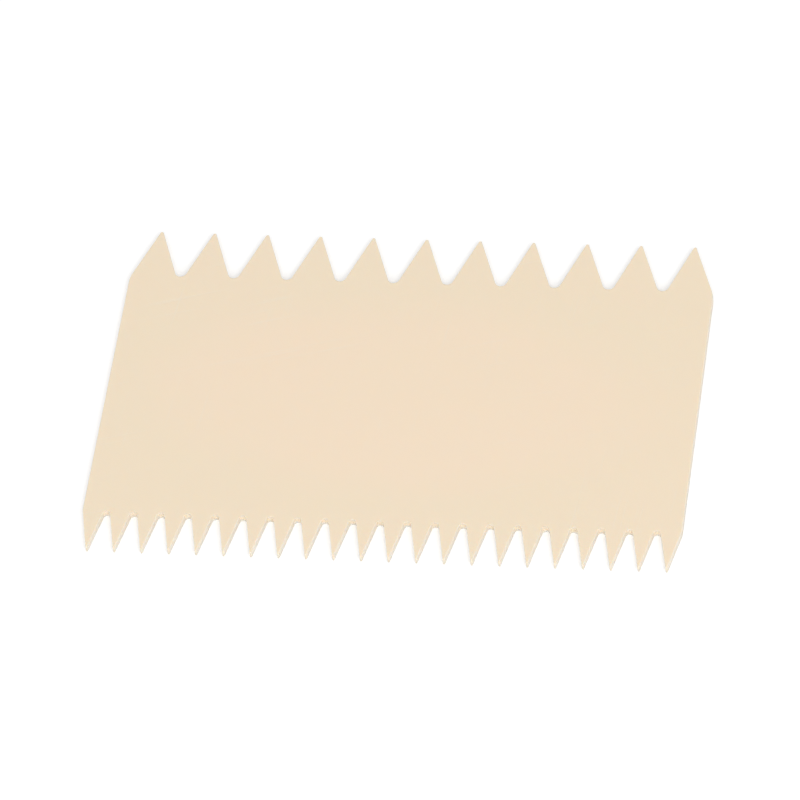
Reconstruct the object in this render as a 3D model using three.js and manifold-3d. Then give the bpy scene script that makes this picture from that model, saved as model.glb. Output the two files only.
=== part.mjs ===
// A two-edged pastry scraper comb: a thin moulded plate with coarse teeth along one long edge and
// fine teeth along the other, for combing ridges into cream and icing.
//
// Units are millimetres and +Z is up. The comb lies on its lower face at Z = 0, centred on the origin,
// with its length along X, the coarse teeth towards +Y and the fine teeth towards -Y.
//
// The real comb is a single moulding. It is shaped here as one solid and then parted straight across
// the roots of the teeth, so that each tooth is a named convex piece lying flush with the web.

import * as THREE from "three";
import { mergeVertices, toCreasedNormals } from "three/addons/utils/BufferGeometryUtils.js";
import Module from "manifold-3d";

// Plate
const PLATE_LENGTH = 109; // between the plain short sides
const COMB_WIDTH = 75.5; // from the coarse tips to the fine tips
const THICKNESS = 1.5;
const EDGE_ROUND = 0.1; // soft edge between the walls and the two faces
const EDGE_LIMIT = 0.8; // the most of the tightest radius that the soft edge may take up
const CORNER_RADIUS = 6; // where the outer flank of an end tooth turns into a short side

// Coarse teeth
const COARSE_PITCH = 10;
const COARSE_DEPTH = 10.8; // from the tip to the bottom of the valley
const COARSE_TIP_RADIUS = 0.35;
const COARSE_ROOT_RADIUS = 1.05;

// Fine teeth
const FINE_PITCH = 5;
const FINE_DEPTH = 8.35;
const FINE_TIP_RADIUS = 0.2;
const FINE_ROOT_RADIUS = 0.65;

// Smoothness of the curves
const HALF_ARC_STEPS = 3; // straight steps in half of each arc of the outline
const EDGE_STEPS = 2; // steps across the soft edge
const CREASE_ANGLE = THREE.MathUtils.degToRad(35); // steeper edges stay sharp when shaded

const wasm = await Module();
wasm.setup();

const creamPlastic = new THREE.MeshStandardMaterial({
  name: "cream_plastic",
  color: "#f2dfc6",
  roughness: 0.5,
  metalness: 0,
});

// A row of teeth, laid out with its tips towards +v at half the width of the comb and its teeth along u.
// Facing is +1 for a row on the +Y edge. It is -1 for a row on the -Y edge, which is turned by half a turn.
// Each flank is the straight line that touches a tip circle on one side and the root circle on the other.
function describeRow(name, facing, pitch, depth, tipRadius, rootRadius) {
  const count = Math.round(PLATE_LENGTH / pitch);
  const tipCentre = COMB_WIDTH / 2 - tipRadius;
  const rootCentre = COMB_WIDTH / 2 - depth + rootRadius;
  const run = pitch / 2;
  const rise = tipCentre - rootCentre;
  const crossing = Math.asin((tipRadius + rootRadius) / Math.hypot(run, rise));
  const lean = Math.atan2(run, rise) - crossing;
  const rootLine = rootCentre - rootRadius * Math.sin(lean);
  return { name, facing, pitch, count, tipCentre, tipRadius, rootCentre, rootRadius, lean, rootLine };
}

const coarseRow = describeRow(
  "coarse_tooth",
  1,
  COARSE_PITCH,
  COARSE_DEPTH,
  COARSE_TIP_RADIUS,
  COARSE_ROOT_RADIUS,
);
const fineRow = describeRow(
  "fine_tooth",
  -1,
  FINE_PITCH,
  FINE_DEPTH,
  FINE_TIP_RADIUS,
  FINE_ROOT_RADIUS,
);

// Where tooth number index stands along its row, which is centred on the plate
function toothPlace(row, index) {
  return (index - (row.count - 1) / 2) * row.pitch;
}

// How far up the row the circle lies that touches both a short side and the outer flank of the end tooth
function cornerCentre(row) {
  const inset = toothPlace(row, row.count - 1) - (PLATE_LENGTH / 2 - CORNER_RADIUS);
  return row.tipCentre + (inset * Math.cos(row.lean) + row.tipRadius - CORNER_RADIUS) / Math.sin(row.lean);
}

// Adds one toothed edge to an outline that runs anticlockwise: the straight flanks and sides follow by
// themselves, because each arc starts in line with the end of the one before it.
function addToothedEdge(outline, row) {
  const turn = row.facing > 0 ? 0 : Math.PI;
  const addArc = (u, v, radius, from, to, clockwise) => {
    outline.absarc(row.facing * u, row.facing * v, radius, turn + from, turn + to, clockwise);
  };
  const cornerU = PLATE_LENGTH / 2 - CORNER_RADIUS;
  const cornerV = cornerCentre(row);

  addArc(cornerU, cornerV, CORNER_RADIUS, 0, row.lean, false);
  for (let index = row.count - 1; index >= 0; index -= 1) {
    const u = toothPlace(row, index);
    addArc(u, row.tipCentre, row.tipRadius, row.lean, Math.PI - row.lean, false);
    if (index > 0) {
      addArc(u - row.pitch / 2, row.rootCentre, row.rootRadius, -row.lean, row.lean - Math.PI, true);
    }
  }
  addArc(-cornerU, cornerV, CORNER_RADIUS, Math.PI - row.lean, Math.PI, false);
}

function solidFrom(geometry) {
  geometry.deleteAttribute("normal");
  geometry.deleteAttribute("uv");
  const welded = mergeVertices(geometry);
  const mesh = new wasm.Mesh({
    numProp: 3,
    vertProperties: welded.attributes.position.array,
    triVerts: Uint32Array.from(welded.index.array),
  });
  return new wasm.Manifold(mesh);
}

// The whole comb, with a soft edge that stays within the smallest tip and the thickness
function mouldComb() {
  const outline = new THREE.Shape();
  addToothedEdge(outline, coarseRow);
  addToothedEdge(outline, fineRow);
  outline.closePath();

  const tightest = Math.min(COARSE_TIP_RADIUS, FINE_TIP_RADIUS, CORNER_RADIUS, THICKNESS / 2);
  const edge = Math.min(EDGE_ROUND, EDGE_LIMIT * tightest);
  const plate = new THREE.ExtrudeGeometry(outline, {
    depth: THICKNESS - 2 * edge,
    curveSegments: HALF_ARC_STEPS,
    bevelThickness: edge,
    bevelSize: edge,
    bevelOffset: -edge,
    bevelSegments: EDGE_STEPS,
  });
  plate.translate(0, 0, edge);
  return solidFrom(plate);
}

// An upright block that reaches past both faces of the plate, for parting the moulding
function partingBlock(xLow, xHigh, yLow, yHigh) {
  const block = new THREE.BoxGeometry(xHigh - xLow, yHigh - yLow, 2 * THICKNESS);
  block.translate((xLow + xHigh) / 2, (yLow + yHigh) / 2, THICKNESS / 2);
  return solidFrom(block);
}

function namedPiece(name, solid) {
  const { vertProperties, triVerts } = solid.getMesh();
  const geometry = new THREE.BufferGeometry();
  geometry.setAttribute("position", new THREE.BufferAttribute(vertProperties, 3));
  geometry.setIndex(new THREE.BufferAttribute(triVerts, 1));
  const piece = new THREE.Mesh(toCreasedNormals(geometry, CREASE_ANGLE), creamPlastic);
  piece.name = name;
  return piece;
}

function cutWeb(moulding) {
  const block = partingBlock(-PLATE_LENGTH, PLATE_LENGTH, -fineRow.rootLine, coarseRow.rootLine);
  return namedPiece("web", moulding.intersect(block));
}

function cutTooth(moulding, row, index) {
  const place = toothPlace(row, index);
  const near = row.facing * row.rootLine;
  const far = row.facing * COMB_WIDTH;
  const block = partingBlock(
    place - row.pitch / 2,
    place + row.pitch / 2,
    Math.min(near, far),
    Math.max(near, far),
  );
  const number = String(index + 1).padStart(2, "0");
  return namedPiece(`${row.name}_${number}`, moulding.intersect(block));
}

const scraperComb = new THREE.Group();
const moulding = mouldComb();
scraperComb.add(cutWeb(moulding));
for (const row of [coarseRow, fineRow]) {
  for (let index = 0; index < row.count; index += 1) {
    scraperComb.add(cutTooth(moulding, row, index));
  }
}

export default scraperComb;
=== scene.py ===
"""The looks of a two-edged pastry scraper comb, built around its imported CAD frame.

The comb is a single moulding in cream plastic, so its visible skin is one closed mesh. The outline
follows the CAD teeth and plate. The skin adds what the mould leaves on such a part: soft edges, walls that
lean in from a fine parting line, and the marks of the ejector pins and of the gate on the underside.
"""

import math
from collections import namedtuple

import bmesh
import bpy
from mathutils import Matrix, Vector


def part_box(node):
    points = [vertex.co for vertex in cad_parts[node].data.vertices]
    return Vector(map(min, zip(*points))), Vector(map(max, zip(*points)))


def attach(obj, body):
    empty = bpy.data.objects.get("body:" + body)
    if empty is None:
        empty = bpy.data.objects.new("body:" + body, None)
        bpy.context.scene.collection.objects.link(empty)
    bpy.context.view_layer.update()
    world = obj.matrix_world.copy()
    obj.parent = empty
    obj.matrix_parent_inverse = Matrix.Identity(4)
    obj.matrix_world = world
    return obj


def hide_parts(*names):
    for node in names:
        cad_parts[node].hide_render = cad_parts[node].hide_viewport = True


MM = 0.001

# Sizes of the moulding that the boxes of the CAD nodes do not give
COARSE_TIP_RADIUS = 0.35 * MM
FINE_TIP_RADIUS = 0.20 * MM
CORNER_RADIUS = 6.0 * MM
EDGE_ROUND = 0.10 * MM
WALL_DRAFT = 0.015 * MM
PARTING_HEIGHT = 0.010 * MM  # how far the parting line stands out from the wall
PARTING_HALF_WIDTH = 0.05 * MM
PARTING_CREST_HALF = PARTING_HALF_WIDTH / 3
WALL_INSET = PARTING_HEIGHT + WALL_DRAFT
FACE_MARGIN = 0.02 * MM  # flat rim between the soft edge and the fill of each face
FULL_INSET = WALL_INSET + EDGE_ROUND + FACE_MARGIN
TIP_SHARE = 0.85  # the most of a tip's radius that the soft edge takes up there

# Steps that round the curves
TIP_STEPS = 12
ROOT_STEPS = 16
CORNER_STEPS = 6
EDGE_STEPS = 6
MARK_STEPS = 40

# Marks on the underside, each as rings of radius and depth in millimetres from the rim to the middle
PIN_MARK = ((2.06, 0.0), (2.0, 0.0), (1.95, 0.12), (1.87, 0.12))
GATE_MARK = ((1.60, 0.0), (1.50, 0.0), (1.15, 0.10), (0.60, 0.12), (0.52, 0.12), (0.46, 0.05), (0.38, 0.04))
PIN_INSET_X = 12.0 * MM
PIN_INSET_Y = 9.0 * MM

# Cream plastic, in linear light
CREAM = (0.839, 0.712, 0.540, 1.0)
CREAM_WARM = (0.862, 0.711, 0.544, 1.0)
# The pale tone below is wear and hairlines, and also painted light on the edges and walls; the deep tone
# after it is painted shade
CREAM_PALE_WEAR_AND_LIGHT = (0.805, 0.776, 0.716, 1.0)
CREAM_PAINTED_SHADE = (0.700, 0.625, 0.520, 1.0)

# Painted light and shade on the upper rim and on the foot of the wall below it: 1 is the pale tone, -1 the
# deep one.
# On the flanks the pale rim is a painted highlight and the pale foot painted light. At the tips of the teeth
# the deep tone is painted shade, darker towards the foot. In the valleys painted shade dims the rim and
# painted light lifts the foot.
FLANK_PAINTED_LIGHT = Vector((0.5, 0.9))
TIP_PAINTED_SHADE = Vector((-0.4, -1.8))
VALLEY_PAINTED_LIGHT_AND_SHADE = Vector((-1.35, 1.2))
MARK_PAINTED_HIGHLIGHT = 0.7  # pale tone painted on the marks of the pins and of the gate, a painted highlight

# Noise in the plastic, as the number of cells in a metre and the octaves of finer noise
CLOUD_NOISE = (28.0, 2.0)
SWELL_NOISE = (90.0, 1.0)
WEAR_NOISE = (900.0, 2.0)
GRAIN_NOISE = (8000.0, 2.0)
NOISE_BAND = (0.35, 0.65)  # the values that most of the soft noise lies between
GRAIN_BAND = (0.3, 0.7)

# Warm tone that spreads from the gate
FLOW_REACH = Vector((46.0, 22.0, 40.0)) * MM
FLOW_FADE = (0.75, 1.15)  # where its fading starts and ends, in shares of its reach
CLOUD_SHARE = 0.25  # how far the clouds shift it either way

# Hairlines from use, each set with its direction and spacing
HAIRLINE_SETS = ((math.radians(84), 0.50 * MM), (math.radians(17), 0.65 * MM))
HAIRLINE_STRETCH = 80.0  # how many times longer than wide a hairline is
HAIRLINE_OCTAVES = 1.0
HAIRLINE_BAND = (0.68, 0.72)  # only the crests of the noise become lines
PATCH_NOISE = (70.0, 1.0)
PATCH_BAND = (0.46, 0.62)  # where the lines break off and start again
HAIRLINE_TONE = 0.15

# Finish of the plastic
WEAR_SHARE = (0.6, 1.0)  # how much the wear noise keeps of the pale tone along the edges, partly wear and partly painted light
SATIN_ROUGHNESS = (0.43, 0.57)
EDGE_POLISH = 0.08
HAIRLINE_ROUGHNESS = 0.12

# Relief of the surface, as height and strength
GRAIN_RELIEF = (0.030 * MM, 0.6)
HAIRLINE_RELIEF = (0.012 * MM, 0.8)
SWELL_RELIEF = (0.060 * MM, 0.6)

# Constants of the plastic's shader
PLASTIC_SHADER = {
    "IOR": 1.49,
    "Specular IOR Level": 0.25,
    "Subsurface Weight": 0.3,
    "Subsurface Radius": (1.0, 0.75, 0.5),
    "Subsurface Scale": 1.0 * MM,
}

# Camera, as solved from the tips and valleys of the teeth in the photograph
CAMERA_AZIMUTH = math.radians(14.313)
CAMERA_ELEVATION = math.radians(49.377)
CAMERA_ROLL = math.radians(-9.079)
CAMERA_DISTANCE = 1262.9 * MM
CAMERA_AIM = Vector((-0.219, -0.499, 0.75)) * MM
CAMERA_LENS = 312.5
CAMERA_CLIP = (0.05, 50.0)
SENSOR_WIDTH = 36.0

# Floor and surroundings
FLOOR_HALF = 4.0
FLOOR_DROP = 0.02 * MM
FLOOR_COLOUR = (0.82, 0.82, 0.82, 1.0)
FLOOR_GLOW = 0.24  # lifts the unshaded floor to white for the camera
WHITE = (1.0, 1.0, 1.0, 1.0)
AMBIENT_STRENGTH = 0.65
BACKGROUND_STRENGTH = 1.0

# Softboxes that face the comb, in metres and watts
KEY_LIGHT = {"place": (0.60, -1.36, 1.34), "size": (1.6, 1.2), "power": 23.5}
FILL_LIGHT = {"place": (-0.45, -1.7, 0.6), "size": (1.2, 1.0), "power": 5.0}

# Positions of the colour sockets on a Mix node, which has sockets of other kinds with the same names
MIX_COLOUR_INPUTS = (6, 7)
MIX_COLOUR_OUTPUT = 2

Row = namedtuple("Row", "facing places pitch tip_centre tip_radius root_centre root_radius lean")
# Each point's tone holds the painted light and shade of the rim and of the foot of the wall there
OutlinePoint = namedtuple("OutlinePoint", "place outward softness tone", defaults=(1.0, FLANK_PAINTED_LIGHT))


# Reading the frame

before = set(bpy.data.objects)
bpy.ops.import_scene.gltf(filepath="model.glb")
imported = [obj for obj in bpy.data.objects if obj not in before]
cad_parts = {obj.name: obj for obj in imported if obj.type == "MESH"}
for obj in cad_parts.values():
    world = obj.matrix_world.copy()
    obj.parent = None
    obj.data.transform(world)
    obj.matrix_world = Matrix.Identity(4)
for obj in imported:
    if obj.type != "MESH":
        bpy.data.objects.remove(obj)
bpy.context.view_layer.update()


def node_names(prefix):
    return sorted(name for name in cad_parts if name.startswith(prefix))


def read_row(prefix, facing, tip_radius):
    """Works out a row of teeth from the boxes of its nodes, with its tips towards +v and its teeth along u.

    A tooth's box gives the width of its base and its height above the base, and so the lean of its flanks.
    The corners of the plate may cut into the end teeth, so the spacing comes from the teeth between them.
    Facing is +1 for the row on the +Y edge and -1 for the row on the -Y edge, which is turned by half a turn.
    """
    boxes = [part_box(name) for name in node_names(prefix)]
    inner = sorted((low.x + high.x) / 2 for low, high in boxes[1:-1])
    pitch = inner[1] - inner[0]
    places = [inner[0] - pitch, *inner, inner[-1] + pitch]
    low, high = boxes[len(boxes) // 2]
    base_half = (high.x - low.x) / 2
    height = high.y - low.y
    tip = max(facing * low.y, facing * high.y)
    rise = height - tip_radius
    lean = math.acos(tip_radius / math.hypot(base_half, rise)) - math.atan2(rise, base_half)
    root_radius = (pitch / 2 - base_half) / math.cos(lean)
    root_centre = tip - height + root_radius * math.sin(lean)
    return Row(facing, places, pitch, tip - tip_radius, tip_radius, root_centre, root_radius, lean)


# Outline of the comb

def arc_points(row, centre, radius, span, steps, middle_tone=FLANK_PAINTED_LIGHT, hollow=False):
    """An arc in a row's own layout, as points with their outward normals.

    A hollow arc cuts into the plastic. Where an arc is tight, the soft edge narrows to fit within it.
    """
    start, end = span
    softness = 1.0 if hollow else min(1.0, TIP_SHARE * radius / FULL_INSET)
    points = []
    for step in range(steps + 1):
        angle = start + (end - start) * step / steps
        ray = Vector((math.cos(angle), math.sin(angle)))
        place = (Vector(centre) + ray * radius) * row.facing
        outward = ray * (-row.facing if hollow else row.facing)
        # painted light and shade, turning from the flanks' tone to the middle tone and back
        tone = FLANK_PAINTED_LIGHT.lerp(middle_tone, math.sin(math.pi * step / steps))
        points.append(OutlinePoint(place, outward, softness, tone))
    return points


def toothed_edge(row, half_length):
    """One toothed edge, from the corner at one short side to the corner at the other, anticlockwise."""
    corner_u = half_length - CORNER_RADIUS
    inset = row.places[-1] - corner_u
    slack = row.tip_radius - CORNER_RADIUS
    corner_v = row.tip_centre + (inset * math.cos(row.lean) + slack) / math.sin(row.lean)
    flank, far_flank = row.lean, math.pi - row.lean
    tip_span, valley_span = (flank, far_flank), (-flank, -far_flank)

    points = arc_points(row, (corner_u, corner_v), CORNER_RADIUS, (0, flank), CORNER_STEPS)
    # Valleys and tips carry their own painted light and shade on the rim and on the foot of the wall
    for number, u in enumerate(reversed(row.places)):
        if number > 0:
            valley = (u + row.pitch / 2, row.root_centre)
            points += arc_points(row, valley, row.root_radius, valley_span, ROOT_STEPS, VALLEY_PAINTED_LIGHT_AND_SHADE, True)
        points += arc_points(row, (u, row.tip_centre), row.tip_radius, tip_span, TIP_STEPS, TIP_PAINTED_SHADE)
    points += arc_points(row, (-corner_u, corner_v), CORNER_RADIUS, (far_flank, math.pi), CORNER_STEPS)
    return points


def edge_profile(thickness):
    """How far each ring of the skin lies inside the outline, and its height, from the lower face upwards."""
    middle = thickness / 2
    lower = [(FULL_INSET, 0.0)]
    for step in range(EDGE_STEPS + 1):
        angle = math.pi / 2 * step / EDGE_STEPS
        lower.append((WALL_INSET + EDGE_ROUND * (1 - math.sin(angle)), EDGE_ROUND * (1 - math.cos(angle))))
    lower.append((PARTING_HEIGHT, middle - PARTING_HALF_WIDTH))
    lower.append((0.0, middle - PARTING_CREST_HALF))
    upper = [(inset, thickness - height) for inset, height in reversed(lower)]
    return lower + upper


# Skin of the comb

def add_ring(bm, outline, inset, height):
    ring = []
    for point in outline:
        place = point.place - point.outward * inset * point.softness
        ring.append(bm.verts.new((place.x, place.y, height)))
    return ring


def bridge(bm, lower, upper):
    count = len(lower)
    for i in range(count):
        j = (i + 1) % count
        bm.faces.new((lower[i], lower[j], upper[j], upper[i]))


def pin_places(web_low, web_high):
    """Ejector pins near the corners of the plate and at the middle of its long edges."""
    xs = (web_low.x + PIN_INSET_X, 0.0, web_high.x - PIN_INSET_X)
    ys = (web_low.y + PIN_INSET_Y, web_high.y - PIN_INSET_Y)
    return [Vector((x, y)) for x in xs for y in ys]


def add_round_mark(bm, edge, centre, profile):
    """A shallow round mark in the lower face. Returns the rim that the face has to leave open for it."""
    circle = []
    for step in range(MARK_STEPS):
        angle = -2 * math.pi * step / MARK_STEPS
        circle.append(OutlinePoint(centre, Vector((math.cos(angle), math.sin(angle)))))
    rings = [add_ring(bm, circle, -radius * MM, depth * MM) for radius, depth in profile]
    for outer, inner in zip(rings, rings[1:]):
        bridge(bm, outer, inner)
    bm.faces.new(rings[-1])
    for ring in rings[1:]:
        # Paints the mark's rings in the pale tone, a painted highlight
        for vert in ring:
            vert[edge] = MARK_PAINTED_HIGHLIGHT
    return rings[0]


def fill_face(bm, loops):
    """Fills a flat face that is bounded by the first loop and left open inside the others."""
    edges = []
    for loop in loops:
        for i, vert in enumerate(loop):
            edges.append(bm.edges.get((vert, loop[(i + 1) % len(loop)])))
    bmesh.ops.triangle_fill(bm, use_beauty=True, use_dissolve=False, edges=edges)


def build_comb(coarse, fine, web_low, web_high):
    outline = toothed_edge(coarse, web_high.x) + toothed_edge(fine, web_high.x)
    thickness = web_high.z - web_low.z
    bm = bmesh.new()
    edge = bm.verts.layers.float.new("edge")
    profile = edge_profile(thickness)
    rings = [add_ring(bm, outline, inset, web_low.z + height) for inset, height in profile]
    for lower, upper in zip(rings, rings[1:]):
        bridge(bm, lower, upper)
    marks = [add_round_mark(bm, edge, place, PIN_MARK) for place in pin_places(web_low, web_high)]
    marks.append(add_round_mark(bm, edge, Vector((0.0, 0.0)), GATE_MARK))
    fill_face(bm, [rings[0], *marks])
    fill_face(bm, [rings[-1]])
    bmesh.ops.recalc_face_normals(bm, faces=bm.faces)
    # Paints light and shade on the walls: each ring blends the rim's tone at the top into the foot's tone at
    # the floor
    for ring, (_, height) in list(zip(rings, profile))[1:-1]:
        drop = 1 - height / thickness
        for vert, point in zip(ring, outline):
            vert[edge] = point.tone.x + (point.tone.y - point.tone.x) * drop
    mesh = bpy.data.meshes.new("comb_moulding")
    bm.to_mesh(mesh)
    bm.free()
    mesh.shade_smooth()
    comb = bpy.data.objects.new("comb_moulding", mesh)
    bpy.context.scene.collection.objects.link(comb)
    return comb


# Materials

class Nodes:
    """A short way to add and join the nodes of one material or world."""

    def __init__(self, tree):
        self.tree = tree
        tree.nodes.clear()

    def add(self, kind, **settings):
        node = self.tree.nodes.new(kind)
        for name, value in settings.items():
            setattr(node, name, value)
        return node

    def join(self, source, target):
        self.tree.links.new(source, target)

    def feed(self, value, target):
        """Joins a socket to the target, or sets the target to a plain value."""
        if isinstance(value, bpy.types.NodeSocket):
            self.join(value, target)
        else:
            target.default_value = value

    def math(self, operation, a, b):
        node = self.add("ShaderNodeMath", operation=operation)
        self.feed(a, node.inputs[0])
        self.feed(b, node.inputs[1])
        return node.outputs["Value"]

    def noise(self, vector, scale, octaves):
        node = self.add("ShaderNodeTexNoise")
        self.join(vector, node.inputs["Vector"])
        node.inputs["Scale"].default_value = scale
        node.inputs["Detail"].default_value = octaves
        return node.outputs["Fac"]

    def ranged(self, value, source, result):
        """Takes a value from one range to another, and holds it at the ends."""
        node = self.add("ShaderNodeMapRange")
        self.join(value, node.inputs["Value"])
        for name, limit in zip(("From Min", "From Max", "To Min", "To Max"), (*source, *result)):
            node.inputs[name].default_value = limit
        return node.outputs["Result"]

    def mix(self, share, a, b):
        node = self.add("ShaderNodeMix", data_type="RGBA")
        self.join(share, node.inputs["Factor"])
        for place, value in zip(MIX_COLOUR_INPUTS, (a, b)):
            self.feed(value, node.inputs[place])
        return node.outputs[MIX_COLOUR_OUTPUT]

    def spread(self, vector, reach):
        """How far out from the middle a point lies, with 1 at the reach along each axis."""
        shares = self.add("ShaderNodeVectorMath", operation="DIVIDE")
        self.join(vector, shares.inputs[0])
        shares.inputs[1].default_value = reach
        distance = self.add("ShaderNodeVectorMath", operation="LENGTH")
        self.join(shares.outputs["Vector"], distance.inputs[0])
        return distance.outputs["Value"]

    def stretched(self, vector, length, angle):
        """Turns the vector by an angle about Z, and then draws a texture out along X."""
        node = self.add("ShaderNodeMapping", vector_type="TEXTURE")
        self.join(vector, node.inputs["Vector"])
        node.inputs["Scale"].default_value = (length, 1.0, 1.0)
        node.inputs["Rotation"].default_value = (0, 0, angle)
        return node.outputs["Vector"]

    def bump(self, height, distance, strength, normal=None, invert=False):
        node = self.add("ShaderNodeBump", invert=invert)
        self.join(height, node.inputs["Height"])
        node.inputs["Distance"].default_value = distance
        node.inputs["Strength"].default_value = strength
        if normal is not None:
            self.join(normal, node.inputs["Normal"])
        return node.outputs["Normal"]


def scratches(nodes, place, angle, spacing):
    """Hairlines that run along a direction and break off now and then."""
    along = nodes.stretched(place, HAIRLINE_STRETCH, angle)
    line = nodes.noise(along, 1 / spacing, HAIRLINE_OCTAVES)
    crest = nodes.ranged(line, HAIRLINE_BAND, (0.0, 1.0))
    patch = nodes.ranged(nodes.noise(place, *PATCH_NOISE), PATCH_BAND, (0.0, 1.0))
    return nodes.math("MULTIPLY", crest, patch)


def cream_plastic():
    material = bpy.data.materials.new("cream_plastic")
    material.use_nodes = True
    nodes = Nodes(material.node_tree)
    place = nodes.add("ShaderNodeTexCoord").outputs["Object"]
    # The edge attribute carries wear, the painted light and shade along the walls, and the painted highlight
    # on the marks
    edge = nodes.add("ShaderNodeAttribute", attribute_name="edge").outputs["Fac"]

    cloud = nodes.noise(place, *CLOUD_NOISE)
    flow = nodes.ranged(nodes.spread(place, FLOW_REACH), FLOW_FADE, (1.0, 0.0))
    grain = nodes.noise(place, *GRAIN_NOISE)
    swell = nodes.noise(place, *SWELL_NOISE)
    wear = nodes.noise(place, *WEAR_NOISE)
    hairline_sets = [scratches(nodes, place, angle, spacing) for angle, spacing in HAIRLINE_SETS]
    hairlines = nodes.math("MAXIMUM", *hairline_sets)

    warm = nodes.math("ADD", flow, nodes.ranged(cloud, NOISE_BAND, (-CLOUD_SHARE, CLOUD_SHARE)))
    body = nodes.mix(warm, CREAM, CREAM_WARM)
    # Pale along the edges is wear and painted light; the deep tone is painted shade
    worn_and_lit = nodes.math("MULTIPLY", edge, nodes.ranged(wear, NOISE_BAND, WEAR_SHARE))
    paler = nodes.math("MAXIMUM", worn_and_lit, nodes.math("MULTIPLY", hairlines, HAIRLINE_TONE))
    painted_shade = nodes.math("MULTIPLY", edge, -1.0)
    colour = nodes.mix(painted_shade, nodes.mix(paler, body, CREAM_PALE_WEAR_AND_LIGHT), CREAM_PAINTED_SHADE)

    satin = nodes.ranged(grain, GRAIN_BAND, SATIN_ROUGHNESS)
    smoother = nodes.math("SUBTRACT", satin, nodes.math("MULTIPLY", edge, EDGE_POLISH))
    roughness = nodes.math("ADD", smoother, nodes.math("MULTIPLY", hairlines, HAIRLINE_ROUGHNESS))

    grained = nodes.bump(grain, *GRAIN_RELIEF)
    scored = nodes.bump(hairlines, *HAIRLINE_RELIEF, grained, invert=True)
    wavy = nodes.bump(swell, *SWELL_RELIEF, scored)

    shader = nodes.add("ShaderNodeBsdfPrincipled")
    nodes.join(colour, shader.inputs["Base Color"])
    nodes.join(roughness, shader.inputs["Roughness"])
    nodes.join(wavy, shader.inputs["Normal"])
    for name, value in PLASTIC_SHADER.items():
        shader.inputs[name].default_value = value
    output = nodes.add("ShaderNodeOutputMaterial")
    nodes.join(shader.outputs["BSDF"], output.inputs["Surface"])
    return material


def seen_directly(nodes):
    """1 for rays that show the background itself: camera, glossy and transmitted ones."""
    rays = nodes.add("ShaderNodeLightPath").outputs
    glossy = nodes.math("MAXIMUM", rays["Is Camera Ray"], rays["Is Glossy Ray"])
    return nodes.math("MAXIMUM", glossy, rays["Is Transmission Ray"])


def floor_white():
    """Pale floor that takes the object's shadow and looks white where nothing shades it."""
    material = bpy.data.materials.new("floor_white")
    material.use_nodes = True
    nodes = Nodes(material.node_tree)
    diffuse = nodes.add("ShaderNodeBsdfDiffuse")
    diffuse.inputs["Color"].default_value = FLOOR_COLOUR
    glow = nodes.add("ShaderNodeEmission")
    nodes.join(nodes.math("MULTIPLY", seen_directly(nodes), FLOOR_GLOW), glow.inputs["Strength"])
    both = nodes.add("ShaderNodeAddShader")
    nodes.join(diffuse.outputs["BSDF"], both.inputs[0])
    nodes.join(glow.outputs["Emission"], both.inputs[1])
    output = nodes.add("ShaderNodeOutputMaterial")
    nodes.join(both.outputs["Shader"], output.inputs["Surface"])
    return material


# Stage, light and camera

def add_floor():
    bm = bmesh.new()
    corners = ((-1, -1), (1, -1), (1, 1), (-1, 1))
    bm.faces.new([bm.verts.new((x * FLOOR_HALF, y * FLOOR_HALF, -FLOOR_DROP)) for x, y in corners])
    mesh = bpy.data.meshes.new("floor")
    bm.to_mesh(mesh)
    bm.free()
    mesh.materials.append(floor_white())
    floor = bpy.data.objects.new("floor", mesh)
    bpy.context.scene.collection.objects.link(floor)


def add_world():
    """White surroundings that light the comb more softly than they show themselves."""
    world = bpy.data.worlds.new("studio")
    world.use_nodes = True
    bpy.context.scene.world = world
    nodes = Nodes(world.node_tree)
    background = nodes.add("ShaderNodeBackground")
    background.inputs["Color"].default_value = WHITE
    strength = nodes.ranged(seen_directly(nodes), (0.0, 1.0), (AMBIENT_STRENGTH, BACKGROUND_STRENGTH))
    nodes.join(strength, background.inputs["Strength"])
    output = nodes.add("ShaderNodeOutputWorld")
    nodes.join(background.outputs["Background"], output.inputs["Surface"])


def add_softbox(name, place, size, power):
    """An area lamp that faces the comb, which lies at the origin."""
    light = bpy.data.lights.new(name, "AREA")
    light.shape = "RECTANGLE"
    light.size, light.size_y = size
    light.energy = power
    lamp = bpy.data.objects.new(name, light)
    lamp.location = place
    lamp.rotation_mode = "QUATERNION"
    lamp.rotation_quaternion = (-Vector(place)).to_track_quat("-Z", "Y")
    bpy.context.scene.collection.objects.link(lamp)


def add_camera():
    flat = math.cos(CAMERA_ELEVATION)
    back = Vector(
        (math.sin(CAMERA_AZIMUTH) * flat, -math.cos(CAMERA_AZIMUTH) * flat, math.sin(CAMERA_ELEVATION))
    )
    data = bpy.data.cameras.new("photo_camera")
    data.lens = CAMERA_LENS
    data.sensor_width = SENSOR_WIDTH
    data.clip_start, data.clip_end = CAMERA_CLIP
    camera = bpy.data.objects.new("photo_camera", data)
    level = (-back).to_track_quat("-Z", "Y").to_matrix()
    turned = level @ Matrix.Rotation(CAMERA_ROLL, 3, "Z")
    camera.matrix_world = Matrix.Translation(CAMERA_AIM + back * CAMERA_DISTANCE) @ turned.to_4x4()
    bpy.context.scene.collection.objects.link(camera)
    bpy.context.scene.camera = camera


# Putting it together

coarse_row = read_row("coarse_tooth", 1, COARSE_TIP_RADIUS)
fine_row = read_row("fine_tooth", -1, FINE_TIP_RADIUS)
comb_piece = build_comb(coarse_row, fine_row, *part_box("web"))
comb_piece.data.materials.append(cream_plastic())
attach(comb_piece, "root")
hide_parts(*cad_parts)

add_floor()
add_world()
add_softbox("key_light", **KEY_LIGHT)
add_softbox("fill_light", **FILL_LIGHT)
add_camera()
bpy.context.scene.view_settings.view_transform = "Standard"
